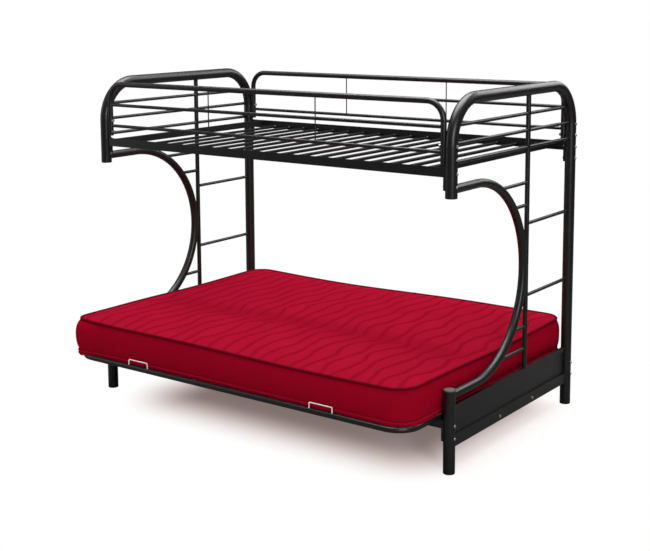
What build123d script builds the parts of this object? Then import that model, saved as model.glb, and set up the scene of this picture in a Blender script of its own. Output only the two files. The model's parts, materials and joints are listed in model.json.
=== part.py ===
from build123d import *
import math
import os

# Sofa to bunk bed in black steel tube: a single bunk over a futon whose seat slides and whose back folds.
# Millimetres. X runs along the bed, Y from the front to the back, Z up. The bed stands on Z = 0,
# and the origin is under the middle of its outline with the futon laid flat.

# End frames
post_diameter = 50.8
post_wall = 1.6
post_spacing_x = 1987.0
post_spacing_y = 1104.0
hoop_rise = 299.0
hoop_bend_radius = 189.0
stub_drop = 35.5
front_leg_rise = 29.5
spigot_length = 65.0
spigot_clearance = 0.3
swage_length = 4.0

# C tubes that carry the hoop's front leg from the front leg below
c_tube_diameter = 38.1
c_tube_wall = 1.5
c_tube_above_futon = 89.0
c_tube_rise = 862.0
c_tube_straight = 205.0

# Ladder and bars in the end frames
ladder_tube_diameter = 22.2
ladder_tube_wall = 1.2
weld_gap = 0.2
bar_diameter = 15.9
bar_wall = 1.2
head_bar_first_rise = 18.0
head_bar_top_drop = 130.0
head_bar_count = 3
long_rung_rise = 293.0
long_rung_drop = 238.0
short_rung_rises = (48.0, 151.0)
short_rung_drops = (51.0, 153.0)

# End panels between the front leg and the rear post
panel_top_rise = 44.0
panel_tube_size = 16.0
panel_tube_wall = 1.2
panel_sheet_thickness = 1.5
lower_rail_bolt_drop = 30.0
lower_rail_height = 50.0
lower_rail_width = 20.0
lower_rail_wall = 1.5

# Plastic caps and feet
foot_height = 6.0
leg_cap_height = 5.0
stub_plug_height = 4.0
plug_insert_length = 15.0
plug_fit_clearance = 0.1
cap_edge_radius = 2.0

# Upper bunk's angle rails and their saddles, bolted to the posts
rail_stock_thickness = 3.0
upper_rail_rise = 90.0
upper_rail_height = 40.0
upper_rail_ledge = 30.0
upper_rail_face_offset = 12.0
upper_bolt_first_drop = 24.0
bolt_pair_pitch = 54.0
saddle_length = 94.0
saddle_thickness = 4.0
saddle_to_c_tube_clearance = 0.3

# Lower stretchers, with their ledge on top, where the futon rests
stretcher_top_height = 228.0
stretcher_height = 38.0
stretcher_ledge = 30.0
stretcher_face_offset = 10.0
stretcher_saddle_length = 90.0
stretcher_bolt_first_drop = 21.0
pad_thickness = 2.0
pad_length = 100.0
pad_edge_margin = 2.0
pad_inset = 35.0

# Upper bunk's deck
end_member_inset = 93.5
end_member_width = 25.0
end_member_height = 30.0
end_member_wall = 1.5
slat_count = 17
slat_width = 25.0
slat_height = 10.0
slat_wall = 1.2
slat_end_clearance = 1.0
deck_screw_inset = 14.0
deck_screw_radius = 2.5
deck_screw_head_radius = 4.5
deck_screw_head_height = 2.0
deck_screw_clearance = 0.2

# Guards on both long sides
guard_tube_diameter = 25.4
guard_tube_wall = 1.2
guard_foot_rise = 12.0
guard_rise = 255.0
guard_bend_radius = 80.0
guard_bar_first_rise = 49.0
guard_bar_top_drop = 103.0
guard_rod_diameter = 5.5
guard_rod_inset = 646.2
guard_bolt_first_rise = 20.0

# Bolts and nuts
bolt_radius = 4.0
bolt_hole_clearance = 0.2
bolt_head_radius = 7.0
bolt_head_height = 4.4
bolt_head_edge_radius = 2.5
bolt_socket_radius = 2.9
bolt_socket_depth = 2.2
bolt_end_length = 2.0
nut_width = 13.0
nut_height = 6.5
nut_bore_clearance = 0.05

# Futon frames
futon_tube_diameter = 25.4
futon_tube_wall = 1.5
futon_side_clearance = 4.0
seat_projection = 270.0
back_projection = 13.0
futon_corner_radius = 100.0
hinge_from_front_posts = 407.0
hinge_tube_setback = 28.0
hinge_cross_setback = 45.0
rest_clearance = 0.3
futon_slat_width = 30.0
futon_slat_thickness = 3.0
futon_slat_count = 9
futon_slat_inset = 135.0

# Fold mechanism behind each end panel
fold_angle = 72.0
hinge_plate_thickness = 4.0
hinge_plate_radius = 15.5
hinge_plate_arm = 70.0
hinge_side_clearance = 0.3
hinge_pin_radius = 6.0
pin_running_clearance = 0.1
pin_head_radius = 10.0
pin_head_height = 3.0
glide_radius = 8.0
glide_collar_radius = 12.0
glide_collar_height = 2.5
slot_clearance = 0.3
crank_length = 85.0
crank_end_radius = 14.0
guide_plate_thickness = 4.0
guide_plate_gap = 6.3
guide_plate_front_margin = 40.0
guide_plate_rear_margin = 27.0
guide_plate_rise = 25.0
guide_plate_edge_margin = 17.0
guide_plate_corner_radius = 15.0
crank_bolt_clearance = 29.0
guide_bolt_front_inset = 13.0
guide_bolt_rear_inset = 324.0
guide_spacer_radius = 10.0
cam_point_count = 13

# Mattress retainers at the futon's front edge
retainer_wire_diameter = 4.8
retainer_inset = 418.4
retainer_width = 120.0
retainer_rise = 38.0
retainer_corner_radius = 6.0
retainer_forward_offset = 5.0
retainer_weld_gap = 0.1

# Futon mattress, folded at the hinge
mattress_end_projection = 9.1
mattress_front_setback = 10.0
mattress_rear_projection = 27.0
mattress_clearance = 0.3
mattress_side_height = 148.0
mattress_crown = 18.0
mattress_side_bulge = 6.0
mattress_side_draw = 6.0
mattress_corner_radius = 85.0
mattress_end_roll = 80.0
mattress_end_roll_bow = 7.0
mattress_gap = 0.3
channel_count = 20
channel_inset = 87.0
channel_radius = 9.0
channel_depth = 3.5
crease_radius = 90.0
crease_depth = 7.0

# One overrun for every cut
cut_overrun = 1.0

# Places across and along, worked out from the sizes above
post_radius = post_diameter / 2
post_x = post_spacing_x / 2
futon_radius = futon_tube_diameter / 2
front_reach = seat_projection + futon_radius
rear_reach = mattress_rear_projection + mattress_side_bulge
front_post_y = -(front_reach + post_spacing_y + rear_reach) / 2 + front_reach
rear_post_y = front_post_y + post_spacing_y
hinge_y = front_post_y + hinge_from_front_posts
post_inner_x = post_x - post_radius
c_centre_y = front_post_y + c_tube_straight
c_radius = c_tube_rise / 2
ladder_y = c_centre_y + c_radius + c_tube_diameter / 2 + ladder_tube_diameter / 2 + weld_gap
saddle_inner_x = post_inner_x - saddle_thickness
saddle_lip_reach = c_tube_diameter / 2 + saddle_to_c_tube_clearance
saddle_half_width = math.sqrt(post_radius ** 2 - saddle_lip_reach ** 2)
guard_radius = guard_tube_diameter / 2
guard_post_x = post_inner_x - guard_radius - weld_gap
guard_rod_x = guard_post_x - guard_rod_inset
end_member_x = post_x - end_member_inset
slat_pitch = 2 * end_member_x / (slat_count + 1)
seat_tube_x = post_inner_x - futon_side_clearance - futon_radius
pad_x = seat_tube_x - pad_inset
retainer_x = seat_tube_x - retainer_inset
futon_slat_pitch = 2 * (seat_tube_x - futon_slat_inset) / (futon_slat_count - 1)
seat_front_y = front_post_y - seat_projection
seat_plate_inner_x = seat_tube_x + futon_radius
seat_plate_outer_x = seat_plate_inner_x + hinge_plate_thickness
back_plate_outer_x = seat_plate_inner_x - hinge_side_clearance
back_plate_inner_x = back_plate_outer_x - hinge_plate_thickness
back_tube_x = back_plate_inner_x - futon_radius
back_rear_y = rear_post_y + back_projection
slide_travel = front_reach - post_radius
guide_inner_x = seat_plate_outer_x + guide_plate_gap
guide_outer_x = guide_inner_x + guide_plate_thickness
lower_rail_inner_x = post_x - lower_rail_width / 2
lower_rail_outer_x = post_x + lower_rail_width / 2
guide_bolt_places = (hinge_y + guide_bolt_front_inset, hinge_y + guide_bolt_rear_inset)
mattress_front_y = seat_front_y + mattress_front_setback
mattress_rear_y = rear_post_y + mattress_rear_projection
mattress_length = 2 * (seat_tube_x + mattress_end_projection)
channel_pitch = (mattress_length - 2 * channel_inset) / (channel_count - 1)

# Heights, from the stretchers up to the hoops
futon_z = stretcher_top_height + pad_thickness + rest_clearance + futon_radius
futon_deck_top = futon_z + futon_radius + futon_slat_thickness
mattress_bottom = futon_deck_top + mattress_clearance
mattress_edge_top = mattress_bottom + mattress_side_height
mattress_crown_top = mattress_edge_top + mattress_crown
guide_bolt_z = futon_z - crank_length - crank_bolt_clearance
lower_rail_top = guide_bolt_z + lower_rail_bolt_drop
panel_top = futon_z + panel_top_rise
guide_plate_bottom = guide_bolt_z - guide_plate_edge_margin
guide_plate_top = futon_z + guide_plate_rise
c_bottom = futon_z + c_tube_above_futon
c_top = c_bottom + c_tube_rise
c_centre_z = c_bottom + c_radius
front_leg_top = c_bottom + front_leg_rise
hoop_leg_end = c_top - stub_drop + stub_plug_height
upper_rail_top = c_top + upper_rail_rise
upper_ledge_top = upper_rail_top - upper_rail_height + rail_stock_thickness
hoop_top = upper_rail_top + hoop_rise
hoop_centre_top = hoop_top - post_radius
head_bar_pitch = (hoop_rise - head_bar_first_rise - head_bar_top_drop) / (head_bar_count - 1)
head_bar_heights = [
    upper_rail_top + head_bar_first_rise + level * head_bar_pitch for level in range(head_bar_count)
]
long_rung_heights = (c_bottom + long_rung_rise, c_top - long_rung_drop)
short_rung_heights = (
    [c_bottom + rise for rise in short_rung_rises] + [c_top - drop for drop in short_rung_drops]
)
guard_foot = upper_rail_top + guard_foot_rise
guard_top = guard_foot + guard_rise
guard_bar_heights = (guard_foot + guard_bar_first_rise, guard_top - guard_bar_top_drop)
guard_bolt_heights = (
    guard_foot + guard_bolt_first_rise,
    guard_foot + guard_bolt_first_rise + bolt_pair_pitch,
)
upper_bolt_heights = (
    upper_rail_top - upper_bolt_first_drop,
    upper_rail_top - upper_bolt_first_drop - bolt_pair_pitch,
)
stretcher_bolt_heights = (
    stretcher_top_height - stretcher_bolt_first_drop,
    stretcher_top_height - stretcher_bolt_first_drop - bolt_pair_pitch,
)

sides = (("left", -1), ("right", 1))
rows = (("front", front_post_y, -1), ("rear", rear_post_y, 1))


def save(name, pieces):
    """Write the pieces of one node, which stay separate solids."""
    solids = [solid for piece in pieces for solid in piece.solids()]
    export_step(Compound(solids), os.path.join("parts", name + ".step"))


def swept(path, diameter, wall=0.0):
    """A tube, or with no wall a solid rod, along a path."""
    profile = Circle(diameter / 2)
    if wall:
        profile = profile - Circle(diameter / 2 - wall)
    return sweep(sections=Plane(origin=path @ 0, z_dir=path % 0) * profile, path=path)


def straight(start, end, diameter, wall=0.0):
    return swept(Line(start, end), diameter, wall)


def block(x_range, y_range, z_range):
    """A box between two corners, in whichever order they come."""
    low = [min(pair) for pair in (x_range, y_range, z_range)]
    high = [max(pair) for pair in (x_range, y_range, z_range)]
    size = [b - a for a, b in zip(low, high)]
    return Pos(*low) * Box(*size, align=(Align.MIN, Align.MIN, Align.MIN))


def upright(x, y, low, high, radius):
    return Pos(x, y, low) * Cylinder(radius, high - low, align=(Align.CENTER, Align.CENTER, Align.MIN))


def crosswise(x_start, x_end, y, z, radius):
    """A round bar along X."""
    return straight((x_start, y, z), (x_end, y, z), 2 * radius)


def post_envelope(sign, y):
    return upright(sign * post_x, y, 0, hoop_top, post_radius)


def bolt_holes(sign, y, heights):
    """Cutters for bolts along X through everything between the nut and the head."""
    far = post_x + post_diameter
    near = guard_post_x - guard_tube_diameter
    return [crosswise(sign * near, sign * far, y, z, bolt_radius + bolt_hole_clearance) for z in heights]


# Hoops and posts

def hoop_path(sign):
    x = sign * post_x
    return FilletPolyline(
        (x, front_post_y, hoop_leg_end),
        (x, front_post_y, hoop_centre_top),
        (x, rear_post_y, hoop_centre_top),
        (x, rear_post_y, hoop_leg_end),
        radius=hoop_bend_radius,
    )


def hoop_inset(z):
    """How far the hoop's centre line has bent in from its leg at this height."""
    above = z - (hoop_centre_top - hoop_bend_radius)
    if above <= 0:
        return 0.0
    return hoop_bend_radius - math.sqrt(hoop_bend_radius ** 2 - above ** 2)


def make_hoop(sign):
    hoop = swept(hoop_path(sign), post_diameter, post_wall)
    for _, y, _ in rows:
        for cutter in bolt_holes(sign, y, upper_bolt_heights + guard_bolt_heights):
            hoop = hoop - cutter
    return hoop


def make_rear_post(sign):
    """The lower rear post, swaged at the top to plug into the hoop's rear leg."""
    spigot_radius = post_radius - post_wall - spigot_clearance
    outline = Polyline(
        (post_radius, foot_height),
        (post_radius, hoop_leg_end),
        (spigot_radius, hoop_leg_end),
        (spigot_radius, hoop_leg_end + spigot_length),
        (spigot_radius - post_wall, hoop_leg_end + spigot_length),
        (spigot_radius - post_wall, hoop_leg_end - swage_length),
        (post_radius - post_wall, hoop_leg_end - 2 * swage_length),
        (post_radius - post_wall, foot_height),
        close=True,
    )
    post = revolve(Plane.XZ * make_face(outline), Axis.Z)
    post = Pos(sign * post_x, rear_post_y, 0) * post
    for cutter in bolt_holes(sign, rear_post_y, stretcher_bolt_heights + upper_bolt_heights):
        post = post - cutter
    return post


def make_front_leg(sign):
    x = sign * post_x
    leg = upright(x, front_post_y, foot_height, front_leg_top - leg_cap_height, post_radius)
    leg = leg - upright(x, front_post_y, 0, front_leg_top, post_radius - post_wall)
    for cutter in bolt_holes(sign, front_post_y, stretcher_bolt_heights):
        leg = leg - cutter
    return leg


def make_plug(x, y, seat, cap_height, direction):
    """A plastic plug whose cap covers a tube end at height seat and whose insert goes in."""
    cap = Cylinder(post_radius, cap_height, align=(Align.CENTER, Align.CENTER, Align.MIN))
    cap = fillet(cap.edges().group_by(Axis.Z)[-1], cap_edge_radius)
    insert_radius = post_radius - post_wall - plug_fit_clearance
    insert = Cylinder(insert_radius, plug_insert_length, align=(Align.CENTER, Align.CENTER, Align.MAX))
    plug = cap + insert
    if direction < 0:
        plug = Rot(180, 0, 0) * plug
    return Pos(x, y, seat) * plug


# C tubes, ladder and bars

def c_path(sign):
    x = sign * post_x
    top_start = (x, front_post_y, c_top)
    top_end = (x, c_centre_y, c_top)
    rearmost = (x, c_centre_y + c_radius, c_centre_z)
    bottom_end = (x, c_centre_y, c_bottom)
    bottom_start = (x, front_post_y, c_bottom)
    return Wire([
        Line(top_start, top_end),
        ThreePointArc(top_end, rearmost, bottom_end),
        Line(bottom_end, bottom_start),
    ])


def make_c_tube(sign):
    return swept(c_path(sign), c_tube_diameter, c_tube_wall) - post_envelope(sign, front_post_y)


def c_reach(z):
    """Y of the C tube's centre line at this height."""
    return c_centre_y + math.sqrt(c_radius ** 2 - (z - c_centre_z) ** 2)


def ladder_envelope(sign):
    return upright(sign * post_x, ladder_y, panel_top, hoop_top, ladder_tube_diameter / 2)


def make_ladder_tube(sign):
    x = sign * post_x
    low = (x, ladder_y, panel_top)
    high = (x, ladder_y, hoop_centre_top)
    tube = straight(low, high, ladder_tube_diameter, ladder_tube_wall)
    run_start = (x, ladder_y - post_diameter, hoop_centre_top)
    run_end = (x, ladder_y + post_diameter, hoop_centre_top)
    return tube - straight(run_start, run_end, post_diameter)


def make_head_bars(sign):
    """Head bars, each in two lengths: front leg to ladder tube, and ladder tube to rear leg."""
    x = sign * post_x
    envelope = swept(hoop_path(sign), post_diameter)
    bars = []
    for z in head_bar_heights:
        for _, post_y, row_sign in rows:
            end_y = post_y - row_sign * hoop_inset(z)
            bar = straight((x, ladder_y, z), (x, end_y, z), bar_diameter, bar_wall)
            bars.append(bar - ladder_envelope(sign) - envelope)
    return bars


def make_ladder_rungs(sign):
    x = sign * post_x
    rear = post_envelope(sign, rear_post_y)
    ladder = ladder_envelope(sign)
    c_envelope = swept(c_path(sign), c_tube_diameter)
    rungs = []
    for z in long_rung_heights:
        rung = straight((x, ladder_y, z), (x, rear_post_y, z), bar_diameter, bar_wall)
        rungs.append(rung - rear - ladder)
    for z in short_rung_heights:
        rung = straight((x, ladder_y, z), (x, c_reach(z), z), bar_diameter, bar_wall)
        rungs.append(rung - ladder - c_envelope)
    return rungs


# End panels

def between_posts(piece, sign):
    return piece - post_envelope(sign, front_post_y) - post_envelope(sign, rear_post_y)


def rectangular_tube(x_range, y_range, z_range, wall):
    """A rectangular tube along Y, open at both ends."""
    outer = block(x_range, y_range, z_range)
    bore = block(
        (min(x_range) + wall, max(x_range) - wall),
        (min(y_range) - cut_overrun, max(y_range) + cut_overrun),
        (min(z_range) + wall, max(z_range) - wall),
    )
    return outer - bore


def centred(middle, width):
    return (middle - width / 2, middle + width / 2)


def make_panel_top_rail(sign):
    rail = rectangular_tube(
        centred(sign * post_x, panel_tube_size),
        (front_post_y, rear_post_y),
        (panel_top - panel_tube_size, panel_top),
        panel_tube_wall,
    )
    return between_posts(rail, sign)


def make_panel_sheet(sign):
    sheet = block(
        centred(sign * post_x, panel_sheet_thickness),
        (front_post_y, rear_post_y),
        (lower_rail_top, panel_top - panel_tube_size),
    )
    return between_posts(sheet, sign)


def make_panel_lower_rail(sign):
    rail = rectangular_tube(
        centred(sign * post_x, lower_rail_width),
        (front_post_y, rear_post_y),
        (lower_rail_top - lower_rail_height, lower_rail_top),
        lower_rail_wall,
    )
    rail = between_posts(rail, sign)
    for y in guide_bolt_places:
        for cutter in bolt_holes(sign, y, (guide_bolt_z,)):
            rail = rail - cutter
    return rail


# Fold guides: one plate behind each end panel, with the hinge's straight slot and the crank's curved slot

def slide_to_angle(slide):
    return math.radians(fold_angle) * slide / slide_travel


def crank_pin_place(slide):
    """Where the crank pin stands when the seat has slid this far back."""
    angle = slide_to_angle(slide)
    return (
        hinge_y + slide + crank_length * math.sin(angle),
        futon_z - crank_length * math.cos(angle),
    )


def cam_slot(half_width):
    """The curved slot's outline: the pin's path, widened to both sides and rounded at its ends."""
    step = slide_travel / (cam_point_count - 1)
    upper, lower, heading = [], [], []
    for index in range(cam_point_count):
        slide = index * step
        y, z = crank_pin_place(slide)
        angle = slide_to_angle(slide)
        gain = math.radians(fold_angle) / slide_travel * crank_length
        along = Vector(1 + gain * math.cos(angle), gain * math.sin(angle)).normalized()
        upper.append((y - half_width * along.Y, z + half_width * along.X))
        lower.append((y + half_width * along.Y, z - half_width * along.X))
        heading.append((Vector(y, z), along))
    first, last = heading[0], heading[-1]
    start_tip = first[0] - first[1] * half_width
    end_tip = last[0] + last[1] * half_width
    return make_face([
        Spline(*upper),
        ThreePointArc(upper[-1], end_tip, lower[-1]),
        Spline(*lower),
        ThreePointArc(lower[0], start_tip, upper[0]),
    ])


def make_fold_guide(sign):
    crank_end = crank_pin_place(slide_travel)[0]
    low_y = hinge_y - guide_plate_front_margin
    high_y = crank_end + guide_plate_rear_margin
    middle_z = (guide_plate_bottom + guide_plate_top) / 2
    height = guide_plate_top - guide_plate_bottom
    half_slot = glide_radius + slot_clearance
    plate = RectangleRounded(high_y - low_y, height, guide_plate_corner_radius)
    plate = Pos((low_y + high_y) / 2, middle_z) * plate
    straight_slot = Pos(hinge_y + slide_travel / 2, futon_z) * SlotCenterToCenter(slide_travel, 2 * half_slot)
    plate = plate - straight_slot - cam_slot(half_slot)
    for y in guide_bolt_places:
        plate = plate - Pos(y, guide_bolt_z) * Circle(bolt_radius + bolt_hole_clearance)
    inner_x = sign * guide_inner_x
    face = Plane(origin=(inner_x, 0, 0), x_dir=(0, 1, 0), z_dir=(1, 0, 0))
    return extrude(face * plate, sign * guide_plate_thickness)


def make_guide_spacers():
    spacers = []
    for _, sign in sides:
        for y in guide_bolt_places:
            spacer = crosswise(
                sign * guide_outer_x, sign * lower_rail_inner_x, y, guide_bolt_z, guide_spacer_radius
            )
            hole = bolt_holes(sign, y, (guide_bolt_z,))[0]
            spacers.append(spacer - hole)
    return spacers


# Upper bunk rails, stretchers and saddles

def angle_section(face_y, inward, ledge, low, high, ledge_on_top):
    """An L section in the YZ plane: a standing leg at face_y and a ledge that points inward."""
    inner = face_y + inward * rail_stock_thickness
    toe = face_y + inward * ledge
    outline = [(face_y, low), (face_y, high), (inner, high), (inner, low + rail_stock_thickness),
               (toe, low + rail_stock_thickness), (toe, low)]
    if ledge_on_top:
        outline = [(y, low + high - z) for y, z in outline]
    return make_face(Polyline(*outline, close=True))


def make_angle(section):
    plane = Plane(origin=(-saddle_inner_x, 0, 0), x_dir=(0, 1, 0), z_dir=(1, 0, 0))
    return extrude(plane * section, 2 * saddle_inner_x)


def slat_places():
    return [(index - (slat_count - 1) / 2) * slat_pitch for index in range(slat_count)]


def deck_screw_y(post_y, row_sign):
    return post_y + row_sign * (upper_rail_face_offset - deck_screw_inset)


def deck_screw_holes(post_y, row_sign):
    y = deck_screw_y(post_y, row_sign)
    low = upper_rail_top - upper_rail_height - cut_overrun
    high = upper_ledge_top + slat_height + cut_overrun
    return [upright(x, y, low, high, deck_screw_radius + deck_screw_clearance) for x in slat_places()]


def make_upper_side_rail(post_y, row_sign):
    section = angle_section(
        post_y + row_sign * upper_rail_face_offset,
        -row_sign,
        upper_rail_ledge,
        upper_rail_top - upper_rail_height,
        upper_rail_top,
        False,
    )
    rail = make_angle(section)
    for cutter in deck_screw_holes(post_y, row_sign):
        rail = rail - cutter
    return rail


def make_stretcher(post_y, row_sign):
    section = angle_section(
        post_y + row_sign * stretcher_face_offset,
        -row_sign,
        stretcher_ledge,
        stretcher_top_height - stretcher_height,
        stretcher_top_height,
        True,
    )
    return make_angle(section)


def make_saddles(top, length, bolt_heights):
    """Four saddles that hug the posts on their inner side and take two bolts each."""
    saddles = []
    half = saddle_half_width
    for _, sign in sides:
        for _, post_y, _ in rows:
            x_range = (sign * saddle_inner_x, sign * (post_x - saddle_lip_reach))
            saddle = block(x_range, (post_y - half, post_y + half), (top - length, top))
            saddle = saddle - post_envelope(sign, post_y)
            for cutter in bolt_holes(sign, post_y, bolt_heights):
                saddle = saddle - cutter
            saddles.append(saddle)
    return saddles


def make_rest_pads():
    """Plastic strips on the stretchers' ledges, under the futon frames."""
    pads = []
    for _, post_y, row_sign in rows:
        face = post_y + row_sign * stretcher_face_offset
        toe = face - row_sign * stretcher_ledge
        y_range = (face - row_sign * pad_edge_margin, toe + row_sign * pad_edge_margin)
        for _, sign in sides:
            pads.append(block(
                centred(sign * pad_x, pad_length),
                y_range,
                (stretcher_top_height, stretcher_top_height + pad_thickness),
            ))
    return pads


# Upper bunk's deck

def deck_y_range(clearance):
    front_face = front_post_y - upper_rail_face_offset + rail_stock_thickness
    rear_face = rear_post_y + upper_rail_face_offset - rail_stock_thickness
    return (front_face + clearance, rear_face - clearance)


def make_end_member(sign):
    return rectangular_tube(
        centred(sign * end_member_x, end_member_width),
        deck_y_range(0),
        (upper_rail_top - end_member_height, upper_rail_top),
        end_member_wall,
    )


def make_deck_slats():
    """Channel slats, open below, on the rails' ledges."""
    y_range = deck_y_range(slat_end_clearance)
    top = upper_ledge_top + slat_height
    holes = deck_screw_holes(front_post_y, -1) + deck_screw_holes(rear_post_y, 1)
    slats = []
    for index, x in enumerate(slat_places()):
        slat = block(centred(x, slat_width), y_range, (upper_ledge_top, top))
        trough = block(
            centred(x, slat_width - 2 * slat_wall),
            (y_range[0] - cut_overrun, y_range[1] + cut_overrun),
            (upper_ledge_top - cut_overrun, top - slat_wall),
        )
        slats.append(slat - trough - holes[index] - holes[index + slat_count])
    return slats


def make_deck_screws():
    screws = []
    top = upper_ledge_top + slat_height
    low = upper_rail_top - upper_rail_height
    for _, post_y, row_sign in rows:
        y = deck_screw_y(post_y, row_sign)
        for x in slat_places():
            shank = upright(x, y, low, top, deck_screw_radius)
            head = upright(x, y, top, top + deck_screw_head_height, deck_screw_head_radius)
            screws.append(shank + head)
    return screws


# Guards

def make_guard_top(post_y):
    """The straight top tube, between the bent ends."""
    reach = guard_post_x - guard_bend_radius
    low, high = (-reach, post_y, guard_top), (reach, post_y, guard_top)
    return straight(low, high, guard_tube_diameter, guard_tube_wall)


def make_guard_end(sign, post_y):
    """A bent end: an upright, bolted to the post, that turns inward to meet the top tube."""
    x = sign * guard_post_x
    inner_x = sign * (guard_post_x - guard_bend_radius)
    dip = guard_bend_radius * (1 - math.sqrt(0.5))
    bend_start = (x, post_y, guard_top - guard_bend_radius)
    path = Wire([
        Line((x, post_y, guard_foot), bend_start),
        ThreePointArc(bend_start, (x - sign * dip, post_y, guard_top - dip), (inner_x, post_y, guard_top)),
    ])
    end = swept(path, guard_tube_diameter, guard_tube_wall)
    for cutter in bolt_holes(sign, post_y, guard_bolt_heights):
        end = end - cutter
    return end


def make_guard_bars(post_y):
    """The two long bars, cut to the end posts."""
    ends = [
        upright(sign * guard_post_x, post_y, guard_foot, guard_top, guard_radius)
        for _, sign in sides
    ]
    bars = []
    for z in guard_bar_heights:
        bar = straight((-guard_post_x, post_y, z), (guard_post_x, post_y, z), bar_diameter, bar_wall)
        bars.append(bar - ends[0] - ends[1])
    return bars


def make_guard_rods(post_y):
    """Two upright rods, each in two lengths between the bars and the top tube."""
    low_bar, middle_bar = guard_bar_heights
    runs = (
        (low_bar + bar_diameter / 2, middle_bar - bar_diameter / 2),
        (middle_bar + bar_diameter / 2, guard_top - guard_radius),
    )
    return [
        upright(sign * guard_rod_x, post_y, low, high, guard_rod_diameter / 2)
        for _, sign in sides
        for low, high in runs
    ]


# Bolts and nuts, all along X with their heads on the outside

def make_bolt(sign, head_x, nut_outer_x, y, z):
    """A domed bolt with a hexagon socket, from its head's seat to just past its nut."""
    shank_end = nut_outer_x - nut_height - bolt_end_length
    head = Cylinder(bolt_head_radius, bolt_head_height, align=(Align.CENTER, Align.CENTER, Align.MIN))
    head = fillet(head.edges().group_by(Axis.Z)[-1], bolt_head_edge_radius)
    socket = Pos(0, 0, bolt_head_height - bolt_socket_depth) * extrude(
        RegularPolygon(bolt_socket_radius, 6), bolt_socket_depth + cut_overrun
    )
    shank = Cylinder(bolt_radius, head_x - shank_end, align=(Align.CENTER, Align.CENTER, Align.MAX))
    bolt = (head + shank) - socket
    seat = Plane(origin=(sign * head_x, y, z), x_dir=(0, 0, 1), z_dir=(sign, 0, 0))
    return seat * bolt


def make_nut(sign, nut_outer_x, y, z):
    """A hexagon nut with two flats towards the angle rail."""
    section = RegularPolygon(nut_width / 2, 6, major_radius=False) - Circle(bolt_radius + nut_bore_clearance)
    seat = Plane(origin=(sign * nut_outer_x, y, z), x_dir=(0, 0, 1), z_dir=(-sign, 0, 0))
    return seat * extrude(section, nut_height)


def fastener_places():
    """Name of the bolt group, then head X, nut X, Y and Z of each bolt on one end."""
    head_x = post_x + post_radius
    guard_nut_x = guard_post_x - guard_radius
    places = []
    for _, post_y, _ in rows:
        for z in upper_bolt_heights + stretcher_bolt_heights:
            places.append(("rail_bolts", head_x, saddle_inner_x, post_y, z))
        for z in guard_bolt_heights:
            places.append(("guard_bolts", head_x, guard_nut_x, post_y, z))
    for y in guide_bolt_places:
        places.append(("guide_bolts", lower_rail_outer_x, guide_inner_x, y, guide_bolt_z))
    return places


# Futon frames

def make_futon_frame(tube_x, hinge_side, end_y, cross_y):
    """A U tube open towards the hinge, and the cross tube that closes it."""
    path = FilletPolyline(
        (-tube_x, hinge_side, futon_z),
        (-tube_x, end_y, futon_z),
        (tube_x, end_y, futon_z),
        (tube_x, hinge_side, futon_z),
        radius=futon_corner_radius,
    )
    loop = swept(path, futon_tube_diameter, futon_tube_wall)
    low, high = (-tube_x, cross_y, futon_z), (tube_x, cross_y, futon_z)
    cross = straight(low, high, futon_tube_diameter, futon_tube_wall)
    for _, sign in sides:
        cross = cross - straight(
            (sign * tube_x, cross_y - futon_tube_diameter, futon_z),
            (sign * tube_x, cross_y + futon_tube_diameter, futon_z),
            futon_tube_diameter,
        )
    return [loop, cross]


def make_futon_slats(end_y, cross_y):
    slats = []
    for index in range(futon_slat_count):
        x = (index - (futon_slat_count - 1) / 2) * futon_slat_pitch
        slats.append(block(
            centred(x, futon_slat_width), (end_y, cross_y), (futon_z + futon_radius, futon_deck_top)
        ))
    return slats


def plate_profile(along, arm_width, crank):
    """A round eye at the hinge with an arm along the frame's tube and, if asked, a crank hanging down."""
    profile = Circle(hinge_plate_radius)
    arm = Pos(along * hinge_plate_arm / 2, 0) * Rectangle(hinge_plate_arm, arm_width)
    profile = profile + arm
    if crank:
        profile = profile + Pos(0, -crank_length / 2) * Rectangle(2 * crank_end_radius, crank_length)
        profile = profile + Pos(0, -crank_length) * Circle(crank_end_radius)
        profile = profile - Pos(0, -crank_length) * Circle(hinge_pin_radius)
    return profile


def extruded_at_hinge(profile, sign, inner_x, thickness):
    face = Plane(origin=(sign * inner_x, hinge_y, futon_z), x_dir=(0, 1, 0), z_dir=(1, 0, 0))
    return extrude(face * profile, sign * thickness)


def make_seat_hinge_plates():
    profile = plate_profile(-1, futon_tube_diameter, False) - Circle(hinge_pin_radius)
    return [extruded_at_hinge(profile, sign, seat_plate_inner_x, hinge_plate_thickness) for _, sign in sides]


def make_back_cranks():
    profile = plate_profile(1, futon_tube_diameter, True) - Circle(hinge_pin_radius + pin_running_clearance)
    return [extruded_at_hinge(profile, sign, back_plate_inner_x, hinge_plate_thickness) for _, sign in sides]


def stepped_pin(sign, y, z, steps):
    """Coaxial cylinders along X, each given as its inner X, outer X and radius."""
    pin = crosswise(sign * steps[0][0], sign * steps[0][1], y, z, steps[0][2])
    for inner, outer, radius in steps[1:]:
        pin = pin + crosswise(sign * inner, sign * outer, y, z, radius)
    return pin


def make_hinge_pins():
    """Riveted pins through both hinge plates, on through the glide, with a washer head outside the guide."""
    head_inner = back_plate_inner_x - hinge_side_clearance
    washer_inner = guide_outer_x + slot_clearance
    steps = (
        (head_inner - pin_head_height, head_inner, pin_head_radius),
        (head_inner, washer_inner, hinge_pin_radius),
        (washer_inner, washer_inner + pin_head_height, glide_collar_radius),
    )
    return [stepped_pin(sign, hinge_y, futon_z, steps) for _, sign in sides]


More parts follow.
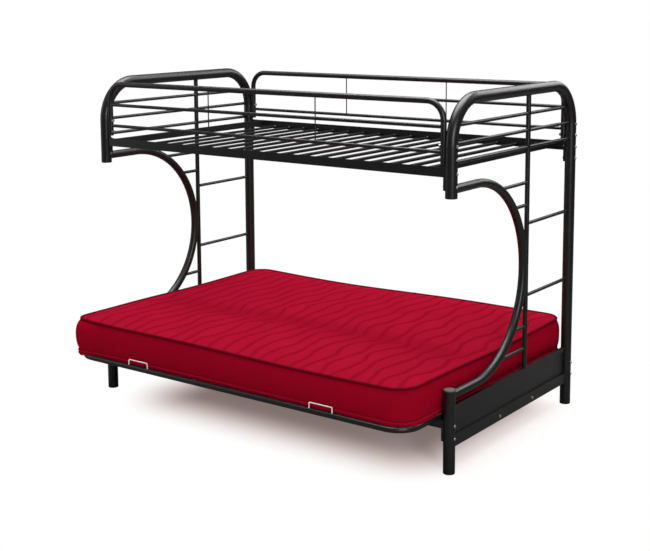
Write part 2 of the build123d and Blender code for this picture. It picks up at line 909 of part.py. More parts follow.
def make_hinge_glides():
    """Plastic bushes on the hinge pins that slide in the guides' straight slots."""
    collar_outer = guide_inner_x - slot_clearance
    steps = (
        (collar_outer - glide_collar_height, collar_outer, glide_collar_radius),
        (collar_outer, guide_outer_x, glide_radius),
    )
    glides = []
    for _, sign in sides:
        bore = crosswise(
            sign * seat_plate_outer_x, sign * (guide_outer_x + cut_overrun), hinge_y, futon_z,
            hinge_pin_radius + pin_running_clearance,
        )
        glides.append(stepped_pin(sign, hinge_y, futon_z, steps) - bore)
    return glides


def make_crank_pins():
    """Shouldered pins, riveted in the cranks, that follow the guides' curved slots."""
    collar_outer = guide_inner_x - slot_clearance
    washer_inner = guide_outer_x + slot_clearance
    steps = (
        (back_plate_inner_x, collar_outer - glide_collar_height, hinge_pin_radius),
        (collar_outer - glide_collar_height, collar_outer, glide_collar_radius),
        (collar_outer, washer_inner, glide_radius),
        (washer_inner, washer_inner + pin_head_height, glide_collar_radius),
    )
    y, z = crank_pin_place(0)
    return [stepped_pin(sign, y, z, steps) for _, sign in sides]


def make_retainers():
    """Bent wires welded on the seat's front tube, which stop the mattress sliding forward."""
    y = seat_front_y - retainer_forward_offset
    wire_radius = retainer_wire_diameter / 2
    nearest = retainer_forward_offset - wire_radius
    foot = futon_z + math.sqrt(futon_radius ** 2 - nearest ** 2) + retainer_weld_gap
    top = futon_z + retainer_rise
    wires = []
    for _, sign in sides:
        middle = sign * retainer_x
        low_x, high_x = centred(middle, retainer_width)
        points = ((low_x, y, foot), (low_x, y, top), (high_x, y, top), (high_x, y, foot))
        path = FilletPolyline(*points, radius=retainer_corner_radius)
        wires.append(swept(path, retainer_wire_diameter))
    return wires


# Mattress

def mattress_side_section():
    """The mattress seen from the end: flat below, swelling sides and a crowned top."""
    middle_z = (mattress_bottom + mattress_edge_top) / 2
    middle_y = (mattress_front_y + mattress_rear_y) / 2
    front_low, rear_low = (mattress_front_y, mattress_bottom), (mattress_rear_y, mattress_bottom)
    front_high, rear_high = (mattress_front_y, mattress_edge_top), (mattress_rear_y, mattress_edge_top)
    return make_face([
        Line(front_low, rear_low),
        ThreePointArc(rear_low, (mattress_rear_y + mattress_side_bulge, middle_z), rear_high),
        ThreePointArc(rear_high, (middle_y, mattress_crown_top), front_high),
        ThreePointArc(front_high, (mattress_front_y - mattress_side_bulge, middle_z), front_low),
    ])


def mattress_front_section():
    """The mattress seen from the front: its ends swell and roll off at the top."""
    half = mattress_length / 2
    shoulder = half - mattress_end_roll
    middle_z = (mattress_bottom + mattress_edge_top) / 2
    roll_x = (half + shoulder) / 2
    roll_z = (mattress_edge_top + mattress_crown_top) / 2 + mattress_end_roll_bow
    clear_top = mattress_crown_top + mattress_crown
    edges = [Line((-half, mattress_bottom), (half, mattress_bottom))]
    edges.append(Line((-shoulder, clear_top), (shoulder, clear_top)))
    for sign in (-1, 1):
        low, high = (sign * half, mattress_bottom), (sign * half, mattress_edge_top)
        rolled = (sign * shoulder, mattress_crown_top)
        edges.append(ThreePointArc(low, (sign * (half + mattress_side_bulge), middle_z), high))
        edges.append(ThreePointArc(high, (sign * roll_x, roll_z), rolled))
        edges.append(Line(rolled, (sign * shoulder, clear_top)))
    return make_face(edges)


def mattress_plan():
    """The outline from above: round corners, with sides drawn in between them."""
    half_x = mattress_length / 2 + mattress_side_bulge
    low_y = mattress_front_y - mattress_side_bulge
    high_y = mattress_rear_y + mattress_side_bulge
    middle_y = (low_y + high_y) / 2
    round_off = mattress_corner_radius
    dip = round_off * (1 - math.sqrt(0.5))
    corners = []
    for x_sign, y_sign in ((1, -1), (1, 1), (-1, 1), (-1, -1)):
        x, y = x_sign * half_x, (high_y if y_sign > 0 else low_y)
        on_x = (x, y - y_sign * round_off)
        on_y = (x - x_sign * round_off, y)
        bend = (x - x_sign * dip, y - y_sign * dip)
        corners.append((on_x, on_y, bend))
    (r_f, f_r, b0), (r_b, b_r, b1), (l_b, b_l, b2), (l_f, f_l, b3) = corners
    draw = mattress_side_draw
    return make_face([
        ThreePointArc(f_r, b0, r_f), ThreePointArc(r_f, (half_x - draw, middle_y), r_b),
        ThreePointArc(r_b, b1, b_r), ThreePointArc(b_r, (0, high_y - draw), b_l),
        ThreePointArc(b_l, b2, l_b), ThreePointArc(l_b, (draw - half_x, middle_y), l_f),
        ThreePointArc(l_f, b3, f_l), ThreePointArc(f_l, (0, low_y + draw), f_r),
    ])


def crown_arc():
    """The top's crown in the YZ plane, as the radius and centre height of its arc."""
    half = (mattress_rear_y - mattress_front_y) / 2
    radius = (half ** 2 + mattress_crown ** 2) / (2 * mattress_crown)
    return radius, mattress_crown_top - radius


def channel_cutter(x):
    """A groove that keeps one depth below the crown from the front edge to the rear edge."""
    radius, centre_z = crown_arc()
    middle_y = (mattress_front_y + mattress_rear_y) / 2
    lift = radius + channel_radius - channel_depth
    half = (mattress_rear_y - mattress_front_y) / 2 + mattress_corner_radius
    drop = lift - math.sqrt(lift ** 2 - half ** 2)
    path = ThreePointArc(
        (x, middle_y - half, centre_z + lift - drop),
        (x, middle_y, centre_z + lift),
        (x, middle_y + half, centre_z + lift - drop),
    )
    return swept(path, 2 * channel_radius)


def make_mattress():
    """The whole mattress, before it is parted at the fold."""
    side_plane = Plane(origin=(-mattress_length, 0, 0), x_dir=(0, 1, 0), z_dir=(1, 0, 0))
    body = extrude(side_plane * mattress_side_section(), 2 * mattress_length)
    depth = mattress_rear_y - mattress_front_y
    front_plane = Plane(origin=(0, mattress_rear_y + depth, 0), x_dir=(1, 0, 0), z_dir=(0, -1, 0))
    body = body & extrude(front_plane * mattress_front_section(), 3 * depth)
    body = body & extrude(mattress_plan(), 2 * mattress_crown_top)
    for index in range(channel_count):
        x = (index - (channel_count - 1) / 2) * channel_pitch
        body = body - channel_cutter(x)
    crease_z = mattress_crown_top + crease_radius - crease_depth
    body = body - crosswise(-mattress_length, mattress_length, hinge_y, crease_z, crease_radius)
    return body


def fold_wedge(gap):
    """The V over the hinge that closes when the back folds up, with its point lowered by what
    moves its sides out by gap."""
    half_angle = math.radians(fold_angle / 2)
    point_z = futon_z - gap / math.sin(half_angle)
    height = 2 * (mattress_crown_top - point_z)
    spread = height * math.tan(half_angle)
    outline = Polyline(
        (hinge_y, point_z),
        (hinge_y - spread, point_z + height),
        (hinge_y + spread, point_z + height),
        close=True,
    )
    plane = Plane(origin=(-mattress_length, 0, 0), x_dir=(0, 1, 0), z_dir=(1, 0, 0))
    return extrude(plane * make_face(outline), 2 * mattress_length)


def main():
    os.makedirs("parts", exist_ok=True)

    for side, sign in sides:
        save("hoop_" + side, [make_hoop(sign)])
        save("rear_post_" + side, [make_rear_post(sign)])
        save("front_leg_" + side, [make_front_leg(sign)])
        save("c_tube_" + side, [make_c_tube(sign)])
        save("ladder_tube_" + side, [make_ladder_tube(sign)])
        save("head_bars_" + side, make_head_bars(sign))
        save("ladder_rungs_" + side, make_ladder_rungs(sign))
        save("panel_top_rail_" + side, [make_panel_top_rail(sign)])
        save("panel_sheet_" + side, [make_panel_sheet(sign)])
        save("panel_lower_rail_" + side, [make_panel_lower_rail(sign)])
        save("fold_guide_" + side, [make_fold_guide(sign)])
        save("deck_end_member_" + side, [make_end_member(sign)])
    save("guide_spacers", make_guide_spacers())

    feet, caps, plugs = [], [], []
    cap_seat = front_leg_top - leg_cap_height
    for _, sign in sides:
        x = sign * post_x
        for _, post_y, _ in rows:
            feet.append(make_plug(x, post_y, foot_height, foot_height, -1))
        caps.append(make_plug(x, front_post_y, cap_seat, leg_cap_height, 1))
        plugs.append(make_plug(x, front_post_y, hoop_leg_end, stub_plug_height, -1))
    save("foot_glides", feet)
    save("front_leg_caps", caps)
    save("stub_plugs", plugs)

    for row, post_y, row_sign in rows:
        save("upper_side_rail_" + row, [make_upper_side_rail(post_y, row_sign)])
        save("stretcher_" + row, [make_stretcher(post_y, row_sign)])
        save("guard_top_" + row, [make_guard_top(post_y)])
        save("guard_ends_" + row, [make_guard_end(sign, post_y) for _, sign in sides])
        save("guard_bars_" + row, make_guard_bars(post_y))
        save("guard_rods_" + row, make_guard_rods(post_y))
    upper_saddles = make_saddles(upper_rail_top, saddle_length, upper_bolt_heights)
    lower_saddles = make_saddles(stretcher_top_height, stretcher_saddle_length, stretcher_bolt_heights)
    save("upper_rail_saddles", upper_saddles)
    save("stretcher_saddles", lower_saddles)
    save("rest_pads", make_rest_pads())
    save("deck_slats", make_deck_slats())
    save("deck_screws", make_deck_screws())

    bolts, nuts = {}, []
    for group, head_x, nut_x, y, z in fastener_places():
        for _, sign in sides:
            bolts.setdefault(group, []).append(make_bolt(sign, head_x, nut_x, y, z))
            nuts.append(make_nut(sign, nut_x, y, z))
    for group, pieces in bolts.items():
        save(group, pieces)
    save("hex_nuts", nuts)

    seat_cross_y = hinge_y - hinge_cross_setback
    back_cross_y = hinge_y + hinge_cross_setback
    seat_open_y = hinge_y - hinge_tube_setback
    back_open_y = hinge_y + hinge_tube_setback
    save("seat_frame", make_futon_frame(seat_tube_x, seat_open_y, seat_front_y, seat_cross_y))
    save("back_frame", make_futon_frame(back_tube_x, back_open_y, back_rear_y, back_cross_y))
    save("seat_slats", make_futon_slats(seat_front_y, seat_cross_y))
    save("back_slats", make_futon_slats(back_rear_y, back_cross_y))
    save("seat_hinge_plates", make_seat_hinge_plates())
    save("back_cranks", make_back_cranks())
    save("hinge_pins", make_hinge_pins())
    save("hinge_glides", make_hinge_glides())
    save("crank_pins", make_crank_pins())
    save("mattress_retainers", make_retainers())

    mattress = make_mattress()
    halves = (mattress - fold_wedge(mattress_gap)).solids().sort_by(Axis.Y)
    save("mattress_seat", [halves[0]])
    save("mattress_back", [halves[-1]])
    save("mattress_fold", [mattress & fold_wedge(0)])


main()
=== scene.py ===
import json
import math
import bpy
import numpy as np
from mathutils import Matrix, Vector


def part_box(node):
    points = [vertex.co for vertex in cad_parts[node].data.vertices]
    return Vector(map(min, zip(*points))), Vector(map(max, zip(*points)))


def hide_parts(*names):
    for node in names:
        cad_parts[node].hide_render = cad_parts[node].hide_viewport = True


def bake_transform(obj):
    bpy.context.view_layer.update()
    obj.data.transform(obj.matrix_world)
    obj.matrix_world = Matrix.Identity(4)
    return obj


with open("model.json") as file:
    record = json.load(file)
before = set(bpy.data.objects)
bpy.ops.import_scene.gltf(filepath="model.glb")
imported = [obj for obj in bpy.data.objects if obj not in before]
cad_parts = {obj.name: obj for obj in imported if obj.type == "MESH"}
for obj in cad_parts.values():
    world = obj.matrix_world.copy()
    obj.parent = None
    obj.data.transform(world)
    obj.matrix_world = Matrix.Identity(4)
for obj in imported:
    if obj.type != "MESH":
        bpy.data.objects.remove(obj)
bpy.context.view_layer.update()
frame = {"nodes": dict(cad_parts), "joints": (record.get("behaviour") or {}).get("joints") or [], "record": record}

nodes = frame["nodes"]
print("frame loaded:", len(nodes), "nodes")


# Camera: stands about where the photograph was taken from, with half of its upright shift
view = {
    "place": (3.4811, -4.6527, 1.9600), "yaw": -36.4445, "pitch": 7.874, "roll": -0.318,
    "lens": 67.783, "sensor": 36.0, "shiftY": -0.165, "clipEnd": 100,
}


def makeCamera():
    # yaw turns it from +Y towards +X, pitch tips it down, roll turns it about its own axis
    yaw, pitch, roll = (math.radians(view[key]) for key in ("yaw", "pitch", "roll"))
    ahead = Vector((math.sin(yaw) * math.cos(pitch), math.cos(yaw) * math.cos(pitch), -math.sin(pitch)))
    level = Vector((math.cos(yaw), -math.sin(yaw), 0))
    lift = level.cross(ahead)
    right = level * math.cos(roll) + lift * math.sin(roll)
    up = lift * math.cos(roll) - level * math.sin(roll)
    data = bpy.data.cameras.new("camera")
    data.lens, data.sensor_width, data.shift_y = view["lens"], view["sensor"], view["shiftY"]
    data.clip_end = view["clipEnd"]
    item = bpy.data.objects.new("camera", data)
    bpy.context.scene.collection.objects.link(item)
    turn = Matrix((right, up, -ahead)).transposed().to_4x4()
    item.matrix_world = Matrix.Translation(view["place"]) @ turn
    bpy.context.scene.camera = item


makeCamera()
bpy.context.scene.view_settings.view_transform = 'Standard'
print("camera placed")


# Shader maths: a socket that adds Math nodes when it is used in an expression
class Wire:
    def __init__(self, paint, socket):
        self.paint, self.socket = paint, socket

    def math(self, operation, first, second):
        return self.paint.node("ShaderNodeMath", {"operation": operation}, {0: first, 1: second})

    def __add__(self, other):
        return self.math("ADD", self, other)

    def __radd__(self, other):
        return self.math("ADD", other, self)

    def __sub__(self, other):
        return self.math("SUBTRACT", self, other)

    def __rsub__(self, other):
        return self.math("SUBTRACT", other, self)

    def __mul__(self, other):
        return self.math("MULTIPLY", self, other)

    def __rmul__(self, other):
        return self.math("MULTIPLY", other, self)


class Paint:
    # the node tree of a material or of the world
    def __init__(self, owner):
        owner.use_nodes = True
        self.owner, self.tree = owner, owner.node_tree
        self.tree.nodes.clear()

    def node(self, kind, settings=None, values=None, output=0):
        made = self.tree.nodes.new(kind)
        for key, value in (settings or {}).items():
            setattr(made, key, value)
        for key, value in (values or {}).items():
            if isinstance(value, Wire):
                self.tree.links.new(value.socket, made.inputs[key])
            else:
                made.inputs[key].default_value = value
        return Wire(self, made.outputs[output]) if len(made.outputs) else None

    def coordinates(self, which="Object"):
        return self.node("ShaderNodeTexCoord", output=which)

    def ray(self, which):
        return self.node("ShaderNodeLightPath", output=which)

    def attribute(self, name):
        return self.node("ShaderNodeAttribute", {"attribute_name": name}, output="Fac")

    def vector(self, operation, first, second, output=0):
        return self.node("ShaderNodeVectorMath", {"operation": operation}, {0: first, 1: second}, output)

    def noise(self, scale, detail=2.0, roughness=0.5):
        return self.node("ShaderNodeTexNoise", None, {
            "Vector": self.coordinates(), "Scale": scale, "Detail": detail, "Roughness": roughness,
        })

    def mix(self, amount, first, second):
        colours = [c if isinstance(c, Wire) else (*c, 1) for c in (first, second)]
        return self.node("ShaderNodeMix", {"data_type": "RGBA"},
                         {0: amount, 6: colours[0], 7: colours[1]}, output=2)

    def choose(self, amount, first, second):
        return self.node("ShaderNodeMixShader", None, {0: amount, 1: first, 2: second})

    def bump(self, height, strength, distance, under=None):
        values = {"Height": height, "Strength": strength, "Distance": distance}
        if under:
            values["Normal"] = under
        return self.node("ShaderNodeBump", None, values)

    def finish(self, values):
        surface = self.node("ShaderNodeBsdfPrincipled", None, values)
        self.node("ShaderNodeOutputMaterial", None, {"Surface": surface})
        return self.owner


def newPaint(name):
    return Paint(bpy.data.materials.new(name))


# Finishes: noise scales are cycles in a metre, heights are in metres, and a spread is the
# whole range of the roughness about its middle
powder = {
    "dark": (0.0040, 0.0040, 0.0040), "light": (0.0070, 0.0072, 0.0071), "roughness": 0.36, "gloss": 0.55,
    "mottle": 9, "sweep": 40, "spread": 0.10, "grain": 1100, "grainStrength": 0.14, "grainHeight": 0.0002,
}
moulded = {"mottle": 26, "sweep": 90, "spread": 0.12, "grain": 900, "grainStrength": 0.18, "grainHeight": 0.0002}
plastic = {
    **moulded, "dark": (0.006, 0.006, 0.006), "light": (0.012, 0.0115, 0.011), "roughness": 0.50, "gloss": 0.35,
}
# front leg caps: black plastic drawn a lighter brown-grey, a painted sheen for the light their tops reflect
paleCapPaintedSheen = {
    **moulded, "dark": (0.060, 0.050, 0.045), "light": (0.105, 0.092, 0.084), "roughness": 0.6, "gloss": 0.35,
    "grain": 700,
}
nylon = {**moulded, "dark": (0.60, 0.58, 0.52), "light": (0.72, 0.70, 0.65), "roughness": 0.45, "gloss": 0.5}
whiteWire = {
    **moulded, "dark": (0.66, 0.64, 0.62), "light": (0.80, 0.78, 0.76), "roughness": 0.38, "gloss": 0.5,
    "grain": 1500,
}
zinc = {
    "dark": (0.42, 0.42, 0.42), "light": (0.74, 0.73, 0.70), "roughness": 0.34,
    "cloud": 160, "spread": 0.20, "grain": 2200, "grainStrength": 0.1, "grainHeight": 0.0001,
}
fabric = {
    "top": (0.215, 0.0030, 0.0140), "topWorn": (0.258, 0.0052, 0.0195),
    "side": (0.222, 0.0014, 0.0104), "sideWorn": (0.268, 0.0026, 0.0140),
    # the top piping is drawn darker than the cover's cloth: painted shade on the cord
    "piping": (0.085, 0.0016, 0.0065), "pipingShadedWorn": (0.115, 0.003, 0.009),
    # a darker red for painted shade in the quilting grooves and the fold's dip, and a lighter one for a painted
    # glint along the stitches
    "groove": (0.168, 0.0018, 0.0098), "paintedStitchGlint": (0.30, 0.006, 0.022), "threadShare": 0.55,
    "roughness": 0.88, "spread": 0.10,
    "wear": 5, "wearDetail": 4, "wearRoughness": 0.6, "slub": 260, "slubShare": 0.25,
    "stitchPitch": 0.0062, "stitchFrom": -0.3,  # a stitch lies where a sine of its pitch is above this
    "weavePitch": 0.0016, "weaveStrength": 0.35, "weaveHeight": 0.0002,
    "lump": 190, "lumpStrength": 0.25, "lumpHeight": 0.0006,
}


def about(middle, field, spread):
    # a field from 0 to 1 moves a value about its middle
    return middle + (field - 0.5) * spread


def paintCoat(name, coat):
    # powder coat or plastic: mottled colour, patches of gloss and a fine peel
    p = newPaint(name)
    return p.finish({
        "Base Color": p.mix(p.noise(coat["mottle"], detail=3), coat["dark"], coat["light"]),
        "Roughness": about(coat["roughness"], p.noise(coat["sweep"]), coat["spread"]),
        "Specular IOR Level": coat["gloss"],
        "Normal": p.bump(p.noise(coat["grain"], detail=1), coat["grainStrength"], coat["grainHeight"]),
    })


def paintZinc():
    p = newPaint("zincPlate")
    cloud = p.noise(zinc["cloud"], detail=3)
    return p.finish({
        "Base Color": p.mix(cloud, zinc["dark"], zinc["light"]),
        "Metallic": 1.0,
        "Roughness": about(zinc["roughness"], cloud, zinc["spread"]),
        "Normal": p.bump(p.noise(zinc["grain"], detail=1), zinc["grainStrength"], zinc["grainHeight"]),
    })


def sineOf(p, axis, pitch):
    # a wave along one axis of the UV map, which is in metres
    along = p.node("ShaderNodeSeparateXYZ", None, {0: p.coordinates("UV")}, output=axis)
    return p.node("ShaderNodeMath", {"operation": "SINE"}, {0: along * (2 * math.pi / pitch)})


def paintFabric(name, base, worn, quilted=False):
    # woven cloth: slow wear and fine slubs in its colour, a weave along both axes over soft lumps
    p = newPaint(name)
    wear = p.noise(fabric["wear"], fabric["wearDetail"], fabric["wearRoughness"])
    slub = p.noise(fabric["slub"])
    colour = p.mix(wear * (1 - fabric["slubShare"]) + slub * fabric["slubShare"], base, worn)
    # painted shade in the grooves and in the fold's dip, and a painted glint in dashes along the stitches
    if quilted:  # grooves hold less light, and the stitches along them catch it
        colour = p.mix(p.attribute("groove"), colour, fabric["groove"])
        dash = p.node("ShaderNodeMath", {"operation": "GREATER_THAN"},
                      {0: sineOf(p, 1, fabric["stitchPitch"]), 1: fabric["stitchFrom"]})
        colour = p.mix(p.attribute("stitch") * dash * fabric["threadShare"], colour, fabric["paintedStitchGlint"])
    weave = sineOf(p, 0, fabric["weavePitch"]) * sineOf(p, 1, fabric["weavePitch"])
    lumps = p.bump(p.noise(fabric["lump"], detail=3), fabric["lumpStrength"], fabric["lumpHeight"])
    return p.finish({
        "Base Color": colour,
        "Roughness": about(fabric["roughness"], slub, fabric["spread"]),
        "Specular IOR Level": 0.0,
        "Normal": p.bump(weave, fabric["weaveStrength"], fabric["weaveHeight"], lumps),
    })


# the first five are named as the record's material slots are, for the CAD pieces
finishes = {
    "frame_black": paintCoat("blackPowderCoat", powder),
    "black_plastic": paintCoat("blackPlastic", plastic),
    "nylon": paintCoat("naturalNylon", nylon),
    "zinc": paintZinc(),
    "retainer_white": paintCoat("whiteWireCoat", whiteWire),
    "paleCapPaintedSheen": paintCoat("legCapPaintedSheen", paleCapPaintedSheen),
    "quiltTop": paintFabric("quiltedCover", fabric["top"], fabric["topWorn"], True),
    "quiltSide": paintFabric("plainBoxing", fabric["side"], fabric["sideWorn"]),
    # painted shade: the top piping's darker red
    "piping": paintFabric("pipingCordPaintedShade", fabric["piping"], fabric["pipingShadedWorn"]),
    # the lower piping takes the cloth's lighter worn colours: a painted highlight along the cord
    "lowPipingPaintedHighlight": paintFabric("lowerPipingCordPaintedHighlight", fabric["sideWorn"], fabric["topWorn"]),
}
print("finishes made:", len(finishes))


def dressNodes():
    # the CAD mattress, which the cover replaces, has the quilted cloth
    for row in frame["record"]["subparts"]:
        item = nodes[row["node"]]
        # the front legs' caps take the lighter coat, whose colour is a painted sheen
        chosen = "paleCapPaintedSheen" if row["node"] == "front_leg_caps" else row["material_slot"]
        item.data.materials.clear()
        item.data.materials.append(finishes.get(chosen, finishes["quiltTop"]))


dressNodes()
print("CAD nodes dressed")


# Mattress cover: quilted top, plain boxing and base, one closed form, fitted to the CAD mattress
mattress = {
    "frontLeft": 0.042, "frontRight": 0.098, "rearRight": 0.074, "rearLeft": 0.095,  # corners' radii from above
    "inset": 0.006, "seamDrop": 0.013,  # of the front and rear edges, and of the top seam, inside the CAD form
    "baseLift": 0.0002, "seamLift": 0.0082,  # of the base above the slats, and of the bottom seam above the base
    "draw": 0.005, "crown": 0.011,  # pull of each edge at its middle, height of the top's middle
    "edgeRise": 0.010, "edgeReach": 0.028,  # the roll of the top along its edge
    "proudEdge": 0.64, "edgeFall": 0.0035,  # share of that roll left out at the rear and left, and their fall
    "rearPower": 8, "leftPower": 12,
    "bulge": 0.016, "bulgePower": 3.2, "ripple": 0.10, "rippleRadians": (7.3, 2.9), "ripplePhase": 1,
    "flare": 0.026, "flareRise": 4, "flareFall": 0.45,  # at the front left corner
    "flareReach": 0.11, "rearFlare": 0.4, "rearFlareReach": 0.09,  # with a share of it at the rear right corner
    "legRoom": 0.0018,  # between the left side and the front leg, which the seat slides past
    "columns": 397, "rowStep": 0.011, "cornerSpan": 0.100, "cornerRows": 14, "levels": 18, "baseStride": 12,
}
# waves are height, radians in a metre along X and along Y, and phase; humps are height, middle and reach
unevenness = {
    "waves": ((0.0016, 2.1, 2.7, 0.1), (0.0016, 2.1, -2.7, 1.1), (0.0024, 4.3, -1.9, 1.2),
              (0.0016, 3.3, 6.1, math.pi / 2)),
    "rearWave": 0.0045, "rearRadians": 3.2, "rearMiddle": -0.45,
    "humps": ((0.013, (-0.98, -0.25), (0.30, 0.46)), (0.005, (-0.98, -0.66), (0.14, 0.14)),
              (0.006, (0.92, 0.66), (0.20, 0.16)), (-0.006, (0.95, 0.15), (0.25, 0.35))),
}
fold = {"ahead": 0.105, "depth": 0.021, "front": 0.120, "back": 0.062, "fade": 0.55, "fadePower": 4}
quilting = {
    "pitch": 0.078, "swing": 0.0155, "wave": 0.356, "puff": 0.0050, "seed": 11,
    "phaseStep": (0.5, 2.3), "turnedBack": 0.35, "swingRange": (0.75, 1.15), "puffRange": (0.4, 1.25),
    "overtone": 0.18, "overtoneTurns": 2.3, "overtonePhase": 1.7,
    "grooveWidth": 0.0090, "stitchWidth": 0.0016, "foldShade": 0.42,
}
rim = {
    "out": 0.010, "drop": 0.0128, "steps": 2,
    "slatCount": 9, "slatInset": 0.015, "slatHalf": 0.0138, "slatPower": 8,
}
piping = {"radius": 0.0062, "out": 0.0032, "lowOut": 0.0040, "sides": 10, "stride": 2}
puffing = {
    "columnStride": 3, "rowStride": 2, "levelStride": 3, "frames": 20, "pressure": 4.0, "mass": 0.3,
    "stretch": 15.0, "bend": 0.5, "heldReach": 0.008, "topCap": 0.010, "sideCap": 0.010, "softening": 3,
}
seatLow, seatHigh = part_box("mattress_seat")
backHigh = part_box("mattress_back")[1]
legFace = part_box("front_leg_left")[1].x
hingeY = frame["joints"][1]["pos_m"][1] if len(frame["joints"]) > 1 else 0.0  # where the back folds
halfX = seatHigh.x - mattress["bulge"]
halfY = (backHigh.y - seatLow.y) / 2 - mattress["inset"]
middleY = (backHigh.y + seatLow.y) / 2
bottomZ = seatLow.z + mattress["baseLift"]
bottomSeamZ = bottomZ + mattress["seamLift"]
topSeamZ = seatHigh.z - mattress["seamDrop"]


def gridFaces(rows, columns):
    # quads of a row-major grid, wound so that a grid of rising X and Y faces up
    corner = np.arange(rows - 1)[:, None] * columns + np.arange(columns - 1)[None, :]
    return np.stack([corner, corner + 1, corner + columns + 1, corner + columns], -1).reshape(-1, 4)


def ringOf(rows, columns):
    # vertex numbers round the edge of a row-major grid, anticlockwise from above
    top = np.arange(columns) + (rows - 1) * columns
    left = np.arange(rows) * columns
    return np.concatenate([np.arange(columns), left[1:] + columns - 1, top[-2::-1], left[-2:0:-1]])


def planRows():
    # Y of each row: steps of equal angle through the corner arcs, then steps of equal length
    span = mattress["cornerSpan"]
    turn = np.linspace(0, math.pi / 2, mattress["cornerRows"] + 1)
    arc = halfY - span + span * np.sin(turn)
    count = 2 * round((halfY - span) / mattress["rowStep"])
    run = np.linspace(-(halfY - span), halfY - span, count + 1)
    return np.concatenate([-arc[:0:-1], run, arc[1:]])


def endReach(y, frontRadius, rearRadius):
    # how far one end reaches from the middle at this Y: half the length, less a quarter circle at each corner
    reach = np.full_like(y, halfX)
    for radius, outward in ((frontRadius, -y), (rearRadius, y)):
        into = np.clip(outward - (halfY - radius), 0, radius)
        reach = reach - radius + np.sqrt(radius ** 2 - into ** 2)
    return reach


def drawIn(x, y):
    # each edge pulls in by a parabola between its corners, in proportion to how far out a point lies
    pullX = mattress["draw"] * (1 - (y / halfY) ** 2) * x / halfX
    pullY = mattress["draw"] * (1 - np.clip(np.abs(x) / halfX, 0, 1) ** 2) * y / halfY
    return x - pullX, y - pullY


def hump(x, y, place, size):
    # a bell: e to the power of minus the square of the distance, measured in reaches
    return np.exp(-((x - place[0]) / size[0]) ** 2 - ((y - place[1]) / size[1]) ** 2)


def sag(x, y):
    # slow unevenness of the whole pad: plane waves, one wave that grows towards the rear, and humps
    waves = sum(height * np.sin(alongX * x + alongY * y + phase)
                for height, alongX, alongY, phase in unevenness["waves"])
    rear = np.cos(unevenness["rearRadians"] * (x - unevenness["rearMiddle"])) * np.clip(y, 0, 1)
    humps = sum(height * hump(x, y, place, size) for height, place, size in unevenness["humps"])
    return waves - unevenness["rearWave"] * rear + humps


def crease(x, y):
    # the dip ahead of the fold: a bell across it, steep behind and shallow in front, fading to both ends
    fromDip = y + middleY - (hingeY - fold["ahead"])
    width = np.where(fromDip > 0, fold["back"], fold["front"])
    fade = 1 - fold["fade"] * np.clip(np.abs(x) / halfX, 0, 1) ** fold["fadePower"]
    return np.exp(-(fromDip / width) ** 2) * fade


def quilt(x, y):
    # puffs between wavy stitched lines that run front to back, and each point's distance from a line:
    # a line is a sine with an overtone, and a puff is a half circle across the gap between two lines
    random = np.random.default_rng(quilting["seed"])
    count = int(2 * halfX / quilting["pitch"]) + 4
    phase = (np.cumsum(random.uniform(*quilting["phaseStep"], count))
             * np.where(random.random(count) < quilting["turnedBack"], -1, 1))
    swing = quilting["swing"] * random.uniform(*quilting["swingRange"], count)
    base = (np.arange(count) - (count - 1) / 2) * quilting["pitch"]
    row = y[:, 0]
    wave = 2 * math.pi * row[None, :] / quilting["wave"] + phase[:, None]
    overtone = quilting["overtone"] * np.sin(quilting["overtoneTurns"] * wave + quilting["overtonePhase"])
    lines = np.sort(base[:, None] + swing[:, None] * (np.sin(wave) + overtone), axis=0)
    index = np.clip((x[None] > lines[:, :, None]).sum(0), 1, count - 1)
    rowIndex = np.broadcast_to(np.arange(len(row))[:, None], x.shape)
    left, right = lines[index - 1, rowIndex], lines[index, rowIndex]
    gap = right - left
    share = np.clip((x - left) / gap, 0, 1)
    room = np.clip(gap / quilting["pitch"], *quilting["puffRange"])
    puff = np.sqrt(np.clip(4 * share * (1 - share), 0, 1)) * room
    return quilting["puff"] * puff, np.minimum(share, 1 - share) * gap


def rimHeight(x, y):
    # the rim rests on the slats, and between them on the round tube under the front edge and the ends:
    # a half circle across the tube, no lower than the drop, and a flat-topped bell over each slat
    low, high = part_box("seat_frame")
    radius = (high.z - low.z) / 2
    aside = np.minimum(np.abs(y - (low.y + radius)), np.abs(np.abs(x) - (high.x - radius)))
    rest = low.z + radius + np.sqrt(np.clip(radius ** 2 - aside ** 2, 0, None))
    rest = np.maximum(rest, bottomZ - rim["drop"])
    low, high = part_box("seat_slats")
    places = np.linspace(low.x + rim["slatInset"], high.x - rim["slatInset"], rim["slatCount"])
    near = np.abs(x[:, None] - places[None, :]).min(1) / rim["slatHalf"]
    return rest + (bottomZ - rest) * np.exp(-near ** rim["slatPower"])


def makeMesh(name, points, faceSets, uvSets=None, materials=(), smooth=True):
    # faceSets are index arrays, one for each material slot; uvSets hold a UV for each face corner
    mesh = bpy.data.meshes.new(name)
    loops = np.concatenate([np.concatenate([np.asarray(f).ravel() for f in faces]) for faces in faceSets])
    sizes = np.concatenate([[len(f) for f in faces] for faces in faceSets]).astype(np.int32)
    starts = np.concatenate([[0], np.cumsum(sizes)[:-1]]).astype(np.int32)
    slots = np.repeat(np.arange(len(faceSets)), [len(faces) for faces in faceSets]).astype(np.int32)
    mesh.vertices.add(len(points))
    mesh.vertices.foreach_set("co", np.asarray(points, np.float32).ravel())
    mesh.loops.add(len(loops))
    mesh.loops.foreach_set("vertex_index", loops.astype(np.int32))
    mesh.polygons.add(len(sizes))
    mesh.polygons.foreach_set("loop_start", starts)
    mesh.polygons.foreach_set("material_index", slots)
    mesh.polygons.foreach_set("use_smooth", np.full(len(sizes), smooth))
    if uvSets is not None:
        layer = mesh.uv_layers.new(name="UVMap")
        layer.data.foreach_set("uv", np.asarray(uvSets, np.float32).ravel())
    mesh.update(calc_edges=True)
    mesh.validate()
    for material in materials:
        mesh.materials.append(material)
    item = bpy.data.objects.new(name, mesh)
    bpy.context.scene.collection.objects.link(item)
    return item


